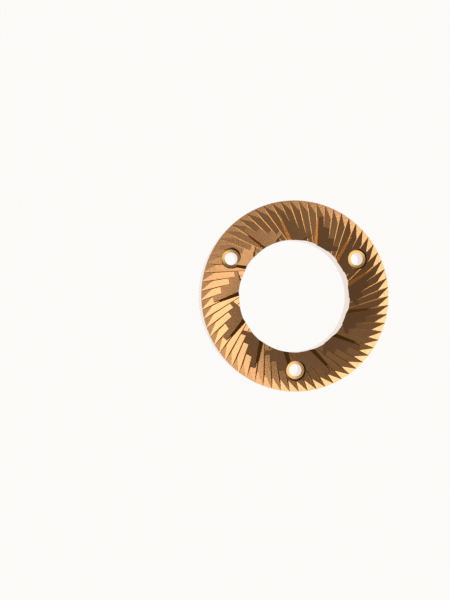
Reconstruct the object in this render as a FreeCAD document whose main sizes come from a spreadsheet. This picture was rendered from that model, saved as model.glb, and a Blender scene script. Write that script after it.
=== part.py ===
# Flat grinding burr of a coffee grinder: one ring of tool steel.
#
# It lies on its flat mounting back with the teeth up. Millimetres and degrees.
# The origin is the centre of the back face, and +Z points to the teeth.
#
# The ring is turned first, and drilled for the screws that hold it in its carrier.
# Then two families of straight V grooves are cut into the front face. All of them are steep on one
# side and shallow on the other, like saw teeth, and sink towards the bore:
# fine grooves, which leave small flat lands at the rim and grind the coffee,
# and deep channels, which break the beans at the bore and each feed a few fine grooves.
# The front face is whatever all of these cuts leave standing.

import FreeCAD, Part
import os
import Sketcher

# Every size that can be set by itself, once.
SIZES = {
    "outer_diameter": 64,
    "bore_diameter": 38,
    "thickness": 8.5,
    "back_edge_chamfer": 0.4,
    # the turned relief in the back that parts a narrow rim band from the seat
    "rim_band_width": 2.15,
    "relief_width": 0.7,
    "relief_depth": 0.4,
    # screw holes
    "screw_count": 3,
    "screw_circle": 50,
    "screw_phase": 30,
    "screw_clearance": 4.3,
    "screw_back_chamfer": 0.4,
    "seat_diameter": 6.1,
    "seat_angle": 170,
    "seat_below_teeth": 2.2,
    "seat_mouth_draft": 18,
    # fine grooves; an offset is how far a groove's bottom line passes from the burr's axis
    "channel_count": 13,
    "grooves_per_channel": 5,
    "groove_phase": 21.9,
    "groove_offset": 9.5,
    "groove_depth_at_rim": 0.05,
    "groove_dip": 8.2,
    "groove_ramp": 18,
    "groove_draft": 32,
    # deep channels; the lag is how far a channel's end lies behind the bottom line of a fine groove
    "channel_offset": 8.6,
    "channel_lag": 1.2,
    "channel_end_diameter": 55.6,
    "channel_end_depth": 0.82,
    "channel_dip": 15.6,
    "channel_ramp": 20.4,
    "channel_draft": 45,
    # how far a cutter starts outside its cut, runs past it and stands above the face
    "cutter_clearance": 1,
}

document = FreeCAD.newDocument("grinder_burr")
sheet = document.addObject("Spreadsheet::Sheet", "sizes")
for row, (name, value) in enumerate(SIZES.items(), start=1):
    sheet.set(f"A{row}", name)
    sheet.set(f"B{row}", str(value))
    sheet.setAlias(f"B{row}", name)
document.recompute()

# Expressions over the sheet that several features share.
OUTER_RADIUS = "sizes.outer_diameter / 2"
BORE_RADIUS = "sizes.bore_diameter / 2"
GROOVE_COUNT = "sizes.channel_count * sizes.grooves_per_channel"

body = document.addObject("PartDesign::Body", "burr")
body.Label = "burr"


def origin(role):
    """A plane or an axis of the body's own origin."""
    return next(item for item in body.Origin.OriginFeatures if item.Role == role)


# A sketch counts a line's first and last points from 1, and -1 stands for its own origin.
FIRST, LAST = range(1, 3)
ORIGIN = (-1, FIRST)


def new_sketch(name, plane, placement):
    """An empty sketch on one of the origin's planes, moved from there by a placement."""
    sketch = body.newObject("Sketcher::SketchObject", name)
    sketch.AttachmentSupport = [(origin(plane), "")]
    sketch.MapMode = "FlatFace"
    if placement:
        sketch.setExpression("AttachmentOffset", placement)
    return sketch


def worth(expression):
    """The present value of an expression over the sheet."""
    return float(body.evalExpression(f"({expression}) * 1"))


def point(corner):
    """A corner's present place in its sketch."""
    return FreeCAD.Vector(worth(corner[0]), worth(corner[1]), 0)


def hold(sketch, line, corner):
    """Hold the first point of a line at a corner given by two expressions."""
    for kind, expression in zip(("DistanceX", "DistanceY"), corner):
        distance = Sketcher.Constraint(kind, *ORIGIN, line, FIRST, worth(expression))
        number = sketch.addConstraint(distance)
        if expression != "0":
            sketch.setExpression(f"Constraints[{number}]", expression)


def outline(name, plane, corners, placement=None):
    """A closed sketch of straight lines through corners, each given by two expressions."""
    sketch = new_sketch(name, plane, placement)
    for corner, following in zip(corners, corners[1:] + corners[:1]):
        sketch.addGeometry(Part.LineSegment(point(corner), point(following)))
    for line, corner in enumerate(corners):
        following = (line + 1) % len(corners)
        sketch.addConstraint(Sketcher.Constraint("Coincident", line, LAST, following, FIRST))
        hold(sketch, line, corner)
    document.recompute()
    return sketch


def cut(feature):
    """Recompute and make sure that the feature took material away."""
    before = body.Shape.Volume
    body.Tip = feature
    document.recompute()
    if feature.Shape.Volume >= before:
        raise RuntimeError(f"{feature.Name} cut nothing")
    return feature


def around(feature, name, count):
    """Repeat a cut evenly around the burr's axis."""
    pattern = body.newObject("PartDesign::PolarPattern", name)
    pattern.Originals = [feature]
    pattern.Axis = (origin("Z_Axis"), [""])
    pattern.Angle = 360
    pattern.setExpression("Occurrences", count)
    return cut(pattern)


# The turned ring

def turn_ring():
    """The blank: a ring with broken edges and a narrow relief groove in its back."""
    relief_outside = f"{OUTER_RADIUS} - sizes.rim_band_width"
    relief_inside = f"{relief_outside} - sizes.relief_width"
    profile = outline("ring_section", "XZ_Plane", [
        (f"{BORE_RADIUS} + sizes.back_edge_chamfer", "0"),
        (relief_inside, "0"),
        (relief_inside, "sizes.relief_depth"),
        (relief_outside, "sizes.relief_depth"),
        (relief_outside, "0"),
        (f"{OUTER_RADIUS} - sizes.back_edge_chamfer", "0"),
        (OUTER_RADIUS, "sizes.back_edge_chamfer"),
        (OUTER_RADIUS, "sizes.thickness"),
        (BORE_RADIUS, "sizes.thickness"),
        (BORE_RADIUS, "sizes.back_edge_chamfer"),
    ])
    ring = body.newObject("PartDesign::Revolution", "turned_ring")
    ring.Profile = profile
    ring.ReferenceAxis = (profile, ["V_Axis"])
    ring.Angle = 360
    document.recompute()
    return ring


# The screw holes

def drill_screw_holes():
    """Clearance holes with a sunk seat, chamfered at the back, evenly round the screw circle."""
    hole_radius = "sizes.screw_clearance / 2"
    seat_radius = "sizes.seat_diameter / 2"
    seat_top = "sizes.thickness - sizes.seat_below_teeth"
    cone_height = "(sizes.seat_diameter - sizes.screw_clearance) / 2 / tan(sizes.seat_angle / 2)"
    above = "sizes.thickness + sizes.cutter_clearance"
    x = "sizes.screw_circle / 2 * cos(sizes.screw_phase)"
    y = "sizes.screw_circle / 2 * sin(sizes.screw_phase)"
    section = outline("screw_hole_section", "XY_Plane", [
        ("0", "0"),
        (f"{hole_radius} + sizes.screw_back_chamfer", "0"),
        (hole_radius, "sizes.screw_back_chamfer"),
        (hole_radius, f"{seat_top} - {cone_height}"),
        (seat_radius, seat_top),
        (f"{seat_radius} + ({above} - ({seat_top})) * tan(sizes.seat_mouth_draft)", above),
        ("0", above),
    ], f"placement(vector({x}; {y}; 0); rotation(sizes.screw_phase; 0; 90))")
    hole = body.newObject("PartDesign::Groove", "screw_hole")
    hole.Profile = section
    hole.ReferenceAxis = (section, ["V_Axis"])
    hole.Angle = 360
    cut(hole)
    return around(hole, "screw_holes", "sizes.screw_count")


# The grooves

def cut_grooves(name, count, offset, angle, radius, depth, lead, dip, ramp, draft):
    """Cut one V groove with a sloping bottom from the bore outwards, and repeat it round the ring.

    offset         how far its bottom line passes from the burr's axis, in plan
    angle, radius  the point in plan that the line starts from, depth below the front face
    lead           how far the cut reaches outwards past that point
    dip            how steeply the bottom sinks towards the bore
    ramp           slope of the long side, from the horizontal
    draft          lean of the steep side, from the vertical
    """
    heading = f"({angle} + {lean(offset, radius)})"
    x = f"({radius}) * cos({angle}) + {lead} * cos({heading})"
    y = f"({radius}) * sin({angle}) + {lead} * sin({heading})"
    z = f"sizes.thickness - {depth} + {lead} * tan({dip})"
    across_the_bore_edge = "2 * sizes.cutter_clearance"
    length = f"({chord(offset, radius, BORE_RADIUS)} + {lead} + {across_the_bore_edge})"
    # the cutter stands above the front face even where the groove is deepest
    height = f"({length} * tan({dip}) + {depth} + sizes.cutter_clearance)"
    wall_top = (f"{height} * tan({draft})", height)
    ramp_top = (f"-{height} / tan({ramp})", height)
    placement = f"placement(vector({x}; {y}; {z}); rotation(90 + {heading}; 0; 90))"
    section = outline(f"{name}_section", "XY_Plane", [("0", "0"), wall_top, ramp_top], placement)
    groove = body.newObject("PartDesign::Pocket", name)
    groove.Profile = section
    groove.setExpression("Length", length)
    groove.UseCustomVector = True
    groove.AlongSketchNormal = True
    groove.setExpression(
        "Direction",
        f"vector(-cos({heading}) * cos({dip}); -sin({heading}) * cos({dip}); -sin({dip}))",
    )
    cut(groove)
    return around(groove, f"{name}s", count)


def chord(offset, outside, inside):
    """Length in plan of a line between two radii, when it passes the axis at an offset."""
    return f"(sqrt(({outside})^2 - {offset}^2) - sqrt(({inside})^2 - {offset}^2))"


def lean(offset, radius):
    """Angle between such a line and the radius to a point on it, as a plain number."""
    return f"asin({offset} / ({radius})) / 1 deg"


def cut_fine_grooves():
    """The grinding teeth. Each groove comes to a point at the rim."""
    return cut_grooves(
        "fine_groove",
        GROOVE_COUNT,
        offset="sizes.groove_offset",
        angle="sizes.groove_phase",
        radius=OUTER_RADIUS,
        depth="sizes.groove_depth_at_rim",
        lead="sizes.cutter_clearance",
        dip="sizes.groove_dip",
        ramp="sizes.groove_ramp",
        draft="sizes.groove_draft",
    )


def cut_channels():
    """The bean breakers. Each ends in an upright face, beside the bottom line of a fine groove."""
    end_radius = "sizes.channel_end_diameter / 2"
    rim_lean = lean("sizes.groove_offset", OUTER_RADIUS)
    end_lean = lean("sizes.groove_offset", end_radius)
    return cut_grooves(
        "channel",
        "sizes.channel_count",
        offset="sizes.channel_offset",
        angle=f"(sizes.groove_phase + {rim_lean} - {end_lean} - sizes.channel_lag)",
        radius=end_radius,
        depth="sizes.channel_end_depth",
        lead="0",
        dip="sizes.channel_dip",
        ramp="sizes.channel_ramp",
        draft="sizes.channel_draft",
    )


turn_ring()
drill_screw_holes()
cut_fine_grooves()
cut_channels()

# Nothing may have failed quietly.
for item in document.Objects:
    if "Invalid" in item.State or "Error" in item.State:
        raise RuntimeError(f"{item.Name} failed: {item.State}")
burr = body.Shape
if burr.isNull() or not burr.isValid() or len(burr.Solids) != 1:
    raise RuntimeError("the burr is not one valid solid")

os.makedirs("parts", exist_ok=True)
burr.exportStep("parts/burr.step")
size = burr.BoundBox
print(f"burr {size.XLength:.2f} x {size.YLength:.2f} x {size.ZLength:.2f} mm,"
      f" {burr.Volume / 1000:.2f} cm3, {len(burr.Faces)} faces")
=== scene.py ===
# %% [markdown]
# A coffee grinder burr, dressed for a product picture.
#
# The burr is one ring of tool steel with saw teeth cut into its face. It was turned, drilled,
# milled, hardened and ground, and given a thin hard coating of a bronze gold colour. Its shape
# comes ready from the CAD model, where every tooth is cut at its real size, so nothing is modelled
# again here. What this script makes is what the CAD model can't hold: the coated and machined
# surface, the light of a small photo studio, and the camera above the table.

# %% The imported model
import math
import bpy
from mathutils import Matrix, Vector


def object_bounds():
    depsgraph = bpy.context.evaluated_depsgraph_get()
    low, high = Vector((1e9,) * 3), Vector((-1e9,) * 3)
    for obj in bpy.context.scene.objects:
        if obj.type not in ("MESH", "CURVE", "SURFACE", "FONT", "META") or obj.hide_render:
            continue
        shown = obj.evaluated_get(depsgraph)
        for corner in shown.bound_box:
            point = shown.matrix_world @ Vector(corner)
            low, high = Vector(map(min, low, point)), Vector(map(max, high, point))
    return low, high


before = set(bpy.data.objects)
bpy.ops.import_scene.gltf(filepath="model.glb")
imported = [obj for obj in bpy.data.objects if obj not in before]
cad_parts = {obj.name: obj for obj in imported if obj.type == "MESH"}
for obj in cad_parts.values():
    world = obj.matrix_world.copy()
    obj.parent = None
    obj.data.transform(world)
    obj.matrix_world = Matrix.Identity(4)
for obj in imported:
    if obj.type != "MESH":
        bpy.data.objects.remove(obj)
cad_low, cad_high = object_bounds()
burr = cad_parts["burr"]
MM = 0.001
outer_radius = cad_high.x
thickness = cad_high.z
print(f"burr: {len(burr.data.polygons)} faces, {2 * outer_radius / MM:.1f} mm across,"
      f" {thickness / MM:.1f} mm thick")

# %% [markdown]
# The camera comes first, because everything after it is judged through it. A camera straight above
# a table still sees a flat ring at a slight lean when the ring lies beside the middle of the
# picture. Here the ring lies to the right, so the camera sees a little of its left outer wall and
# of the right wall of its bore.
#
# The place could be found by moving the camera until the picture fits. It is steadier to say where
# the ring appears, how large, and how it leans, and to work the camera's place out from that.

# %% Camera
PICTURE_WIDTH = 450
PICTURE_HEIGHT = 600
# how the photograph shows the rim of the toothed face, in its pixels
FOCAL_LENGTH_PX = 850
RIM_CENTRE_PX = (296.3, 295.8)
RIM_RADIUS_PX = 95.6
# how the ring is turned in front of the camera, in degrees about the picture's axes
LEAN_TO_THE_RIGHT = 7.9
LEAN_TO_THE_TOP = -1.1
TURN_IN_THE_PICTURE = 0.3
# the longer side of the sensor, and the nearest that the camera sees, in mm
SENSOR = 36
NEAREST = 10

distance = FOCAL_LENGTH_PX / RIM_RADIUS_PX * outer_radius
across = (RIM_CENTRE_PX[0] - PICTURE_WIDTH / 2) / FOCAL_LENGTH_PX * distance
up = (PICTURE_HEIGHT / 2 - RIM_CENTRE_PX[1]) / FOCAL_LENGTH_PX * distance
turned = (Matrix.Rotation(math.radians(LEAN_TO_THE_TOP), 4, "X")
          @ Matrix.Rotation(math.radians(LEAN_TO_THE_RIGHT), 4, "Y")
          @ Matrix.Rotation(math.radians(TURN_IN_THE_PICTURE), 4, "Z"))

bpy.ops.object.camera_add()
camera = bpy.context.object
camera.name = "camera"
camera.data.sensor_width = SENSOR
camera.data.lens = FOCAL_LENGTH_PX * SENSOR / PICTURE_HEIGHT
camera.data.clip_start = NEAREST * MM
camera.matrix_world = (Matrix.Translation((0, 0, thickness))
                       @ turned.inverted()
                       @ Matrix.Translation((-across, -up, distance)))
bpy.context.scene.camera = camera
print(f"camera: {camera.data.lens:.1f} mm lens, {distance / MM:.0f} mm away")

# %% [markdown]
# Materials are built from nodes, and a node is the same few steps each time: make it, set it up,
# feed its inputs. One small function does that. An input is given either a plain value or the
# output of an earlier node. Another function turns a colour as people write it into the linear one
# that light adds up in.

# %% Helpers for colours and nodes
def linear(hex_colour):
    """An sRGB colour written as #rrggbb, as the linear colour that a shader works in."""
    channels = [int(hex_colour[i:i + 2], 16) / 255 for i in (1, 3, 5)]
    return [c / 12.92 if c <= 0.04045 else ((c + 0.055) / 1.055) ** 2.4 for c in channels] + [1]


def add(tree, kind, inputs=None, output=0, **settings):
    """Add a node with its settings and inputs, and give back one of its outputs, if any."""
    node = tree.nodes.new(kind)
    for name, value in settings.items():
        setattr(node, name, value)
    for key, value in (inputs or {}).items():
        if isinstance(value, bpy.types.NodeSocket):
            tree.links.new(value, node.inputs[key])
        else:
            node.inputs[key].default_value = value
    return None if output is None else node.outputs[output]


MIDDLE_GREY = "#808080"
print(f"{MIDDLE_GREY} is {linear(MIDDLE_GREY)[0]:.3f} in linear light")

# %% [markdown]
# The table is a plain sheet of matt white paper. A white that only comes from strong lamps would
# also burn out the metal, so the sheet is lifted towards full white where the camera, or the
# polished metal, looks at it. The lift is only a part of the mix: the rest is still lit by the
# lamps, and keeps the soft shadow round the ring.
#
# The sheet lies a hair under the burr, because two faces in one plane flicker through each other.
# From below it is clear, so that the burr's back can be looked at too.

# %% Table
# the sheet's size in metres, and its gap to the burr in mm
TABLE_SIZE = 6
TABLE_GAP = 0.02
TABLE_LIFT = 0.97
PAPER = "#F6EFEC"
WHITE = "#FFFDFB"

bpy.ops.object.select_all(action="DESELECT")
bpy.ops.mesh.primitive_plane_add(size=TABLE_SIZE, location=(0, 0, -TABLE_GAP * MM))
table = bpy.context.object
table.name = "table"
paper = bpy.data.materials.new("matt_white_paper")
paper.use_nodes = True
tree = paper.node_tree
tree.nodes.clear()
matt = add(tree, "ShaderNodeBsdfDiffuse", {"Color": linear(PAPER)})
lift = add(tree, "ShaderNodeEmission", {"Color": linear(WHITE), "Strength": 1})
to_camera = add(tree, "ShaderNodeLightPath", output="Is Camera Ray")
to_metal = to_camera.node.outputs["Is Glossy Ray"]
looked_at = add(tree, "ShaderNodeMath", {0: to_camera, 1: to_metal}, operation="MAXIMUM")
lifted = add(tree, "ShaderNodeMath", {0: looked_at, 1: TABLE_LIFT}, operation="MULTIPLY")
from_above = add(tree, "ShaderNodeMixShader", {0: lifted, 1: matt, 2: lift})
underneath = add(tree, "ShaderNodeNewGeometry", output="Backfacing")
clear = add(tree, "ShaderNodeBsdfTransparent")
sheet = add(tree, "ShaderNodeMixShader", {0: underneath, 1: from_above, 2: clear})
add(tree, "ShaderNodeOutputMaterial", {"Surface": sheet}, output=None)
table.data.materials.append(paper)
print("table:", TABLE_SIZE, "m of white paper")

# %% [markdown]
# Metal has no colour of its own in a picture: it shows its surroundings, tinted by its reflection.
# What tells one tooth from the next is which part of the studio it mirrors, so the studio matters
# as much as the material. The photograph's teeth are bright where they lean to the right, and brown
# where they lean away from it. So one large soft window of light hangs to the right of the camera.
#
# Smaller and dimmer cards hang around it. Each face of the burr mirrors one direction towards the
# camera, so its brightness in the photograph says how bright the studio is there, and that gives a
# card its place and its level. Lamps don't hide the walls behind them, so each card adds to them.

# %% Studio light
LAMP_DISTANCE = 0.7
LAMP_COLOUR = "#FFFCF6"


def soft_light(name, to_the_right, to_the_top, spread, radiance):
    """A round lamp facing the ring, at angles from straight above. Spread is its half angle."""
    right = math.sin(math.radians(to_the_right))
    top = math.sin(math.radians(to_the_top))
    towards = Vector((right, top, math.sqrt(1 - right ** 2 - top ** 2)))
    bpy.ops.object.light_add(type="AREA", location=towards * LAMP_DISTANCE)
    lamp = bpy.context.object
    lamp.name = name
    lamp.rotation_euler = towards.to_track_quat("Z", "Y").to_euler()
    lamp.data.shape = "DISK"
    lamp.data.size = 2 * LAMP_DISTANCE * math.tan(math.radians(spread))
    area = math.pi * (lamp.data.size / 2) ** 2
    # a lamp of this power and area looks as bright as a surface of this radiance
    lamp.data.energy = radiance * math.pi * area
    lamp.data.color = linear(LAMP_COLOUR)[:3]
    lamp.visible_camera = False
    print(f"{name}: {lamp.data.size:.2f} m across, {lamp.data.energy:.2f} W")


soft_light("window", to_the_right=29.5, to_the_top=-8, spread=21, radiance=2.0)
soft_light("near card", to_the_right=23, to_the_top=-40.5, spread=9, radiance=0.85)
soft_light("side card", to_the_right=39, to_the_top=-31, spread=8, radiance=0.8)
soft_light("low card", to_the_right=3, to_the_top=-44, spread=8, radiance=0.24)
soft_light("small card", to_the_right=10, to_the_top=-33.5, spread=6, radiance=0.2)
soft_light("fill card", to_the_right=-4, to_the_top=-27, spread=10, radiance=0.1)
soft_light("ceiling card", to_the_right=0, to_the_top=0, spread=14, radiance=0.36)
soft_light("left card", to_the_right=-19, to_the_top=-10, spread=9, radiance=0.21)
soft_light("far card", to_the_right=17, to_the_top=33, spread=15, radiance=0.11)
soft_light("back card", to_the_right=-9, to_the_top=28, spread=8, radiance=0.05)
soft_light("right card", to_the_right=45, to_the_top=24, spread=9, radiance=0.08)

# %% [markdown]
# The studio itself is two things at once. Behind the table, the camera has to see plain white. What
# the metal mirrors is a dim room, or its darkest teeth would turn pale.

# %% Studio walls
DIM_WALLS = "#5F5B59"

world = bpy.data.worlds.new("studio")
bpy.context.scene.world = world
world.use_nodes = True
tree = world.node_tree
tree.nodes.clear()
to_camera = add(tree, "ShaderNodeLightPath", output="Is Camera Ray")
walls = add(tree, "ShaderNodeMix",
            {"Factor": to_camera, "A": linear(DIM_WALLS), "B": linear(WHITE)},
            output="Result", data_type="RGBA")
background = add(tree, "ShaderNodeBackground", {"Color": walls, "Strength": 1})
add(tree, "ShaderNodeOutputWorld", {"Surface": background}, output=None)
print("studio walls: white to the camera, dim to the metal")

# %% [markdown]
# The burr's finish is coated tool steel: hardened steel, milled and ground, with a bronze gold
# vapour coating. The coating is a few thousandths of a millimetre thick and hides nothing. It takes
# on every mark of the tools under it, so the metal still looks turned where it was turned and
# ground where it was ground. To the eye that is a tinted mirror, a little blurred by the marks.
#
# The tool marks could be one noise for the whole burr, but then all of its faces would look alike.
# Instead each family of marks gets its own coordinates, worked out from the burr's own geometry,
# and a mask that says where those tools have been. First come the coordinates that all of them
# share: the place in millimetres, and the radius and the angle round the burr's axis.

# %% Coated steel: shared coordinates
steel = bpy.data.materials.new("bronze_gold_coated_tool_steel")
steel.use_nodes = True
tree = steel.node_tree
tree.nodes.clear()

metres = add(tree, "ShaderNodeTexCoord", output="Object")
place = add(tree, "ShaderNodeVectorMath", {0: metres, "Scale": 1 / MM}, operation="SCALE")
x, y, z = add(tree, "ShaderNodeSeparateXYZ", {0: place}).node.outputs
flat = add(tree, "ShaderNodeCombineXYZ", {"X": x, "Y": y})
radius = add(tree, "ShaderNodeVectorMath", {0: flat}, output="Value", operation="LENGTH")
angle = add(tree, "ShaderNodeMath", {0: y, 1: x}, operation="ARCTAN2")
print("shared coordinates:", len(tree.nodes), "nodes")

# %% [markdown]
# Every groove is a straight line that passes the burr's axis at a fixed offset. From any point on
# the burr, the groove that it belongs to can be found: its bearing is the same all along a groove,
# so counting bearings in equal steps gives the groove's number. With the number comes the groove's
# direction, and with that how far along and how far across the groove the point lies. Marks drawn
# in those coordinates run true to each tooth, whichever way it points.

# %% Coated steel: coordinates along the grooves
def groove_coordinates(count, offset, heading):
    """Number, length along and distance across of the groove under each point, in mm."""
    first = math.radians(heading)
    sine_of_lean = add(tree, "ShaderNodeMath", {0: offset, 1: radius}, operation="DIVIDE")
    lean = add(tree, "ShaderNodeMath", {0: sine_of_lean}, operation="ARCSINE")
    bearing = add(tree, "ShaderNodeMath", {0: angle, 1: lean}, operation="ADD")
    past_first = add(tree, "ShaderNodeMath", {0: bearing, 1: first}, operation="SUBTRACT")
    steps = add(tree, "ShaderNodeMath", {0: past_first, 1: count / math.tau}, operation="MULTIPLY")
    counted = add(tree, "ShaderNodeMath", {0: steps}, operation="CEIL")
    turn = add(tree, "ShaderNodeMath", {0: counted, 1: math.tau / count, 2: first},
               operation="MULTIPLY_ADD")
    cosine = add(tree, "ShaderNodeMath", {0: turn}, operation="COSINE")
    sine = add(tree, "ShaderNodeMath", {0: turn}, operation="SINE")
    minus_sine = add(tree, "ShaderNodeMath", {0: sine, 1: -1}, operation="MULTIPLY")
    forwards = add(tree, "ShaderNodeCombineXYZ", {"X": cosine, "Y": sine})
    sideways = add(tree, "ShaderNodeCombineXYZ", {"X": minus_sine, "Y": cosine})
    along = add(tree, "ShaderNodeVectorMath", {0: flat, 1: forwards}, output="Value",
                operation="DOT_PRODUCT")
    beside = add(tree, "ShaderNodeVectorMath", {0: flat, 1: sideways}, output="Value",
                 operation="DOT_PRODUCT")
    across = add(tree, "ShaderNodeMath", {0: beside, 1: offset}, operation="ADD")
    # the count starts again after one turn, so that a groove across the seam keeps one number
    number = add(tree, "ShaderNodeMath", {0: counted, 1: count}, operation="FLOORED_MODULO")
    return number, along, across


# the same sizes as in the CAD model, in mm and degrees
CHANNEL_COUNT = 13
GROOVES_PER_CHANNEL = 5
GROOVE_OFFSET = 9.5
GROOVE_PHASE = 21.9
CHANNEL_OFFSET = 8.6
CHANNEL_LAG = 1.2
CHANNEL_END_RADIUS = 27.8

rim = outer_radius / MM
groove_heading = GROOVE_PHASE + math.degrees(math.asin(GROOVE_OFFSET / rim))
tooth, tooth_along, tooth_across = groove_coordinates(
    CHANNEL_COUNT * GROOVES_PER_CHANNEL, GROOVE_OFFSET, groove_heading)

end_phase = groove_heading - math.degrees(math.asin(GROOVE_OFFSET / CHANNEL_END_RADIUS))
end_lean = math.degrees(math.asin(CHANNEL_OFFSET / CHANNEL_END_RADIUS))
channel_heading = end_phase - CHANNEL_LAG + end_lean
channel, channel_along, channel_across = groove_coordinates(
    CHANNEL_COUNT, CHANNEL_OFFSET, channel_heading)
print(f"grooves head {groove_heading:.1f} degrees, channels {channel_heading:.1f} degrees")

# %% [markdown]
# The fine teeth were cut by a grinding wheel that travelled along each groove, so its scratches run
# lengthways. The channels were milled before that, and a milling cutter leaves rows of small
# cusps across its path. The turned faces carry rings, and so do the screw seats, about their own
# axes. Real scratches are a few hundredths of a millimetre wide, and the picture shows a third of a
# millimetre in each pixel, so they are drawn about ten times too wide, as coarse as they need to
# show.

# %% Coated steel: marks on the teeth and the turned faces
SCRATCH_WIDTH = 0.25
SCRATCH_LENGTH = 5
CUSP_SPACING = 0.45
CUSP_LENGTH = 2.5
RING_SPACING = 0.3
# rings are drawn in the angle round the axis, so their length is in radians
RING_LENGTH = 1
GRAIN = 0.4
# how much finer detail each noise has, and how strong it is
MARK_DETAIL = 2
GRAIN_DETAIL = 3
NOISE_ROUGHNESS = 0.6
# marks of different teeth are read from far apart in the noise
APART = 7.31


def marks(name, long_place, long_size, short_place, short_size, seed=0.0):
    """Streaks of noise, long one way and short the other."""
    first = add(tree, "ShaderNodeMath", {0: long_place, 1: long_size}, operation="DIVIDE")
    second = add(tree, "ShaderNodeMath", {0: short_place, 1: short_size}, operation="DIVIDE")
    third = add(tree, "ShaderNodeMath", {0: seed, 1: APART}, operation="MULTIPLY")
    where = add(tree, "ShaderNodeCombineXYZ", {"X": first, "Y": second, "Z": third})
    noise = {"Vector": where, "Scale": 1, "Detail": MARK_DETAIL, "Roughness": NOISE_ROUGHNESS}
    return add(tree, "ShaderNodeTexNoise", noise, label=name)


scratches = marks("wheel scratches", tooth_along, SCRATCH_LENGTH, tooth_across, SCRATCH_WIDTH,
                  tooth)
cusps = marks("cutter cusps", channel_across, CUSP_LENGTH, channel_along, CUSP_SPACING, channel)
depth_and_radius = add(tree, "ShaderNodeMath", {0: radius, 1: z}, operation="ADD")
rings = marks("turned rings", angle, RING_LENGTH, depth_and_radius, RING_SPACING)
grain = add(tree, "ShaderNodeTexNoise", {"Vector": place, "Scale": 1 / GRAIN,
                                         "Detail": GRAIN_DETAIL, "Roughness": NOISE_ROUGHNESS})
print("marks on the teeth:", len(tree.nodes), "nodes so far")

# %% [markdown]
# The screw seats need coordinates of their own. The three holes lie evenly round the burr, so the
# angle round the burr is folded into one third of a turn, and every point then sees the nearest
# hole in the same place. Its distance from that hole's axis follows.

# %% Coated steel: marks in the screw seats
SCREW_CIRCLE_RADIUS = 25
SCREW_COUNT = 3
SCREW_PHASE = 30

hole_sector = math.tau / SCREW_COUNT
past_hole = add(tree, "ShaderNodeMath", {0: angle, 1: math.radians(SCREW_PHASE)},
                operation="SUBTRACT")
hole_angle = add(tree, "ShaderNodeMath", {0: past_hole, 1: hole_sector / 2, 2: -hole_sector / 2},
                 operation="WRAP")
hole_cosine = add(tree, "ShaderNodeMath", {0: hole_angle}, operation="COSINE")
hole_sine = add(tree, "ShaderNodeMath", {0: hole_angle}, operation="SINE")
outwards = add(tree, "ShaderNodeMath", {0: radius, 1: hole_cosine, 2: -SCREW_CIRCLE_RADIUS},
               operation="MULTIPLY_ADD")
round_about = add(tree, "ShaderNodeMath", {0: radius, 1: hole_sine}, operation="MULTIPLY")
from_hole = add(tree, "ShaderNodeCombineXYZ", {"X": outwards, "Y": round_about})
hole_radius = add(tree, "ShaderNodeVectorMath", {0: from_hole}, output="Value", operation="LENGTH")
hole_depth_and_radius = add(tree, "ShaderNodeMath", {0: hole_radius, 1: z}, operation="ADD")
seat_rings = marks("seat rings", round_about, SCRATCH_LENGTH, hole_depth_and_radius, RING_SPACING)
print("marks in the screw seats:", len(tree.nodes), "nodes so far")

# %% [markdown]
# Now the masks, which say what kind of face a point lies on. A point is in a channel when it is
# lower than the ramp of its fine groove. That ramp is a plane: it sinks towards the bore, and
# climbs across the groove. A point is in a screw seat when it is nearer to the hole's axis than the
# seat's wall, which widens upwards. The turned faces are all that lies at the rim, at the bore or
# at the back. The margins are there because a point on an edge belongs to both of its faces.

# %% Coated steel: channels and seats
GROOVE_DIP = 8.2
GROOVE_RAMP = 18
CUT_MARGIN = 0.06
SEAT_RADIUS = 3.1
SEAT_HEIGHT = 6.3
SEAT_WALL_DRAFT = 18

dip = math.tan(math.radians(GROOVE_DIP))
ramp = math.tan(math.radians(GROOVE_RAMP))
widening = math.tan(math.radians(SEAT_WALL_DRAFT))
rim_along = math.sqrt(rim ** 2 - GROOVE_OFFSET ** 2)
bottom_at_axis = thickness / MM - rim_along * dip - CUT_MARGIN
bottom = add(tree, "ShaderNodeMath", {0: tooth_along, 1: dip, 2: bottom_at_axis},
             operation="MULTIPLY_ADD")
ramp_height = add(tree, "ShaderNodeMath", {0: tooth_across, 1: -ramp, 2: bottom},
                  operation="MULTIPLY_ADD")
in_channel = add(tree, "ShaderNodeMath", {0: z, 1: ramp_height}, operation="LESS_THAN")
seat_limit = add(tree, "ShaderNodeMath",
                 {0: z, 1: widening, 2: SEAT_RADIUS - SEAT_HEIGHT * widening},
                 operation="MULTIPLY_ADD")
in_seat = add(tree, "ShaderNodeMath", {0: hole_radius, 1: seat_limit}, operation="LESS_THAN")
print("masks: channels, screw seats")

# %% Coated steel: turned faces, holes and steep walls
BORE_RADIUS = 19
WALL_MARGIN = 0.04
# the chamfers at the back are 0.4 mm high
BACK_MARGIN = 0.45
# a screw hole, with the chamfer at its back, and how far it stays under the seat
HOLE_RADIUS = 2.6
SEAT_MARGIN = 0.1
# a face is a steep wall when its normal rises less than this, and a fine tooth's when even less
STEEP = 0.8
VERY_STEEP = 0.62

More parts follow.
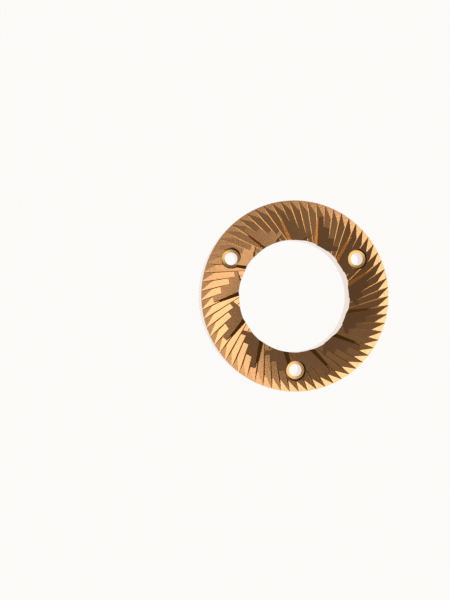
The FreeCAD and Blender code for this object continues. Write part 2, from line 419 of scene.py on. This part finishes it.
at_rim = add(tree, "ShaderNodeMath", {0: radius, 1: rim - WALL_MARGIN}, operation="GREATER_THAN")
at_bore = add(tree, "ShaderNodeMath", {0: radius, 1: BORE_RADIUS + WALL_MARGIN},
              operation="LESS_THAN")
at_back = add(tree, "ShaderNodeMath", {0: z, 1: BACK_MARGIN}, operation="LESS_THAN")
near_hole = add(tree, "ShaderNodeMath", {0: hole_radius, 1: HOLE_RADIUS}, operation="LESS_THAN")
below_seat = add(tree, "ShaderNodeMath", {0: z, 1: SEAT_HEIGHT - SEAT_MARGIN},
                 operation="LESS_THAN")
in_hole = add(tree, "ShaderNodeMath", {0: near_hole, 1: below_seat}, operation="MULTIPLY")
at_walls = add(tree, "ShaderNodeMath", {0: at_rim, 1: at_bore}, operation="MAXIMUM")
# the faces that get a painted pale reflection of the table: the bore, the rim and the screw holes
pale_reflection_walls = add(tree, "ShaderNodeMath", {0: at_walls, 1: in_hole}, operation="MAXIMUM")
turned_face = add(tree, "ShaderNodeMath", {0: at_walls, 1: at_back}, operation="MAXIMUM")
facing = add(tree, "ShaderNodeNewGeometry", output="True Normal")
rise = add(tree, "ShaderNodeSeparateXYZ", {0: facing}, output="Z")
steep = add(tree, "ShaderNodeMath", {0: rise, 1: STEEP}, operation="LESS_THAN")
very_steep = add(tree, "ShaderNodeMath", {0: rise, 1: VERY_STEEP}, operation="LESS_THAN")
tooth_wall = add(tree, "ShaderNodeMath", {0: steep, 1: turned_face}, operation="SUBTRACT",
                 use_clamp=True)
print("masks: turned faces, screw holes, steep walls of the teeth")

# %% [markdown]
# The marks are joined into one height, in millimetres, for the bump. No edge of a used tool is a
# knife to the eye, so a bevel node rounds the light over the edges by a tenth of a millimetre,
# without touching the mesh.

# %% Coated steel: relief
SCRATCH_DEPTH = 0.006
GRAIN_DEPTH = 0.004
EDGE_RADIUS = 0.08
EDGE_SAMPLES = 6

in_groove = add(tree, "ShaderNodeMix", {"Factor": in_channel, "A": scratches, "B": cusps})
on_face = add(tree, "ShaderNodeMix", {"Factor": turned_face, "A": in_groove, "B": rings})
tool_marks = add(tree, "ShaderNodeMix", {"Factor": in_seat, "A": on_face, "B": seat_rings})
mark_height = add(tree, "ShaderNodeMath", {0: tool_marks, 1: SCRATCH_DEPTH}, operation="MULTIPLY")
height = add(tree, "ShaderNodeMath", {0: grain, 1: GRAIN_DEPTH, 2: mark_height},
             operation="MULTIPLY_ADD")
rounded = add(tree, "ShaderNodeBevel", {"Radius": EDGE_RADIUS * MM}, samples=EDGE_SAMPLES)
normal = add(tree, "ShaderNodeBump", {"Height": height, "Distance": MM, "Normal": rounded})
print("relief:", SCRATCH_DEPTH + GRAIN_DEPTH, "mm at most")

# %% [markdown]
# The same marks, added to the grain, give one number of about 1 that shades the coating: it is
# darker in the valleys of the marks and brighter on their crests.
#
# Some faces get a colour of their own, and most of it is painted light. The steep walls of the
# teeth show the window by way of the ramp in front of them, so it is tinted twice, and their colour
# is
# painted to stand in for that reflection: a painted highlight, pale gold on the fine teeth, deep
# gold in the channels. The floor of a screw seat is a little yellower than the teeth, and its wall
# is painted dark, as painted shade. The bore, the rim and the screw holes are painted pale, as a
# painted reflection of the white table.

# %% Coated steel: colour, with painted reflections and painted shade
MARKS_LOW = 0.6
MARKS_HIGH = 1
COATING_IN_VALLEYS = "#CD935C"
COATING_ON_CRESTS = "#E6AB73"
# painted reflections of the window on the steep walls of the teeth, in the channels and on the fine
# teeth
CHANNEL_WALL_PAINTED_REFLECTION = "#B48A3A"
FINE_TOOTH_WALL_PAINTED_REFLECTION = "#F0D98F"
SEAT_FLOOR = "#CC9C58"
# painted shade on the steep wall of a screw seat
SEAT_WALL_PAINTED_SHADE = "#6B4A2C"
# a painted reflection of the white table on the bore, the rim and the screw holes
PAINTED_PALE_REFLECTION = "#EEDDD2"

shade = add(tree, "ShaderNodeMath", {0: tool_marks, 1: grain}, operation="ADD")
coating = add(tree, "ShaderNodeValToRGB", {0: shade})
valleys, crests = coating.node.color_ramp.elements
valleys.position = MARKS_LOW
valleys.color = linear(COATING_IN_VALLEYS)
crests.position = MARKS_HIGH
crests.color = linear(COATING_ON_CRESTS)
# the steep walls of the teeth get their painted reflection of the window
painted_wall_reflection = add(tree, "ShaderNodeMix",
             {"Factor": very_steep, "A": linear(CHANNEL_WALL_PAINTED_REFLECTION), "B": linear(FINE_TOOTH_WALL_PAINTED_REFLECTION)},
             output="Result", data_type="RGBA")
on_teeth = add(tree, "ShaderNodeMix", {"Factor": tooth_wall, "A": coating, "B": painted_wall_reflection},
               output="Result", data_type="RGBA")
# a screw seat: its floor has its own yellower tone, its steep wall gets painted shade
seat = add(tree, "ShaderNodeMix",
           {"Factor": steep, "A": linear(SEAT_FLOOR), "B": linear(SEAT_WALL_PAINTED_SHADE)},
           output="Result", data_type="RGBA")
on_coating = add(tree, "ShaderNodeMix", {"Factor": in_seat, "A": on_teeth, "B": seat},
                 output="Result", data_type="RGBA")
# the bore, the rim and the screw holes get the painted pale reflection of the table
colour = add(tree, "ShaderNodeMix",
             {"Factor": pale_reflection_walls, "A": on_coating, "B": linear(PAINTED_PALE_REFLECTION)},
             output="Result", data_type="RGBA")
print("colour:", len(tree.nodes), "nodes so far")

# %% [markdown]
# The surface is a metal of that colour. The crests of the marks are smoother than the valleys. A
# used burr also carries a film of coffee oil, which adds a second, sharper gloss over the metal.

# %% Coated steel: the finish
GLOSS_HIGH = 1.4
ROUGH_IN_VALLEYS = 0.28
ROUGH_ON_CRESTS = 0.19
OIL_FILM = 0.6
OIL_ROUGHNESS = 0.12

gloss = add(tree, "ShaderNodeMapRange",
            {"Value": shade, "From Min": MARKS_LOW, "From Max": GLOSS_HIGH,
             "To Min": ROUGH_IN_VALLEYS, "To Max": ROUGH_ON_CRESTS})
shader = add(tree, "ShaderNodeBsdfPrincipled",
             {"Metallic": 1, "Base Color": colour, "Roughness": gloss, "Normal": normal,
              "Coat Weight": OIL_FILM, "Coat Roughness": OIL_ROUGHNESS})
add(tree, "ShaderNodeOutputMaterial", {"Surface": shader}, output=None)
burr.data.materials.clear()
burr.data.materials.append(steel)
print("coated steel:", len(tree.nodes), "nodes")

# %% Finish
bpy.context.scene.view_settings.view_transform = "Standard"
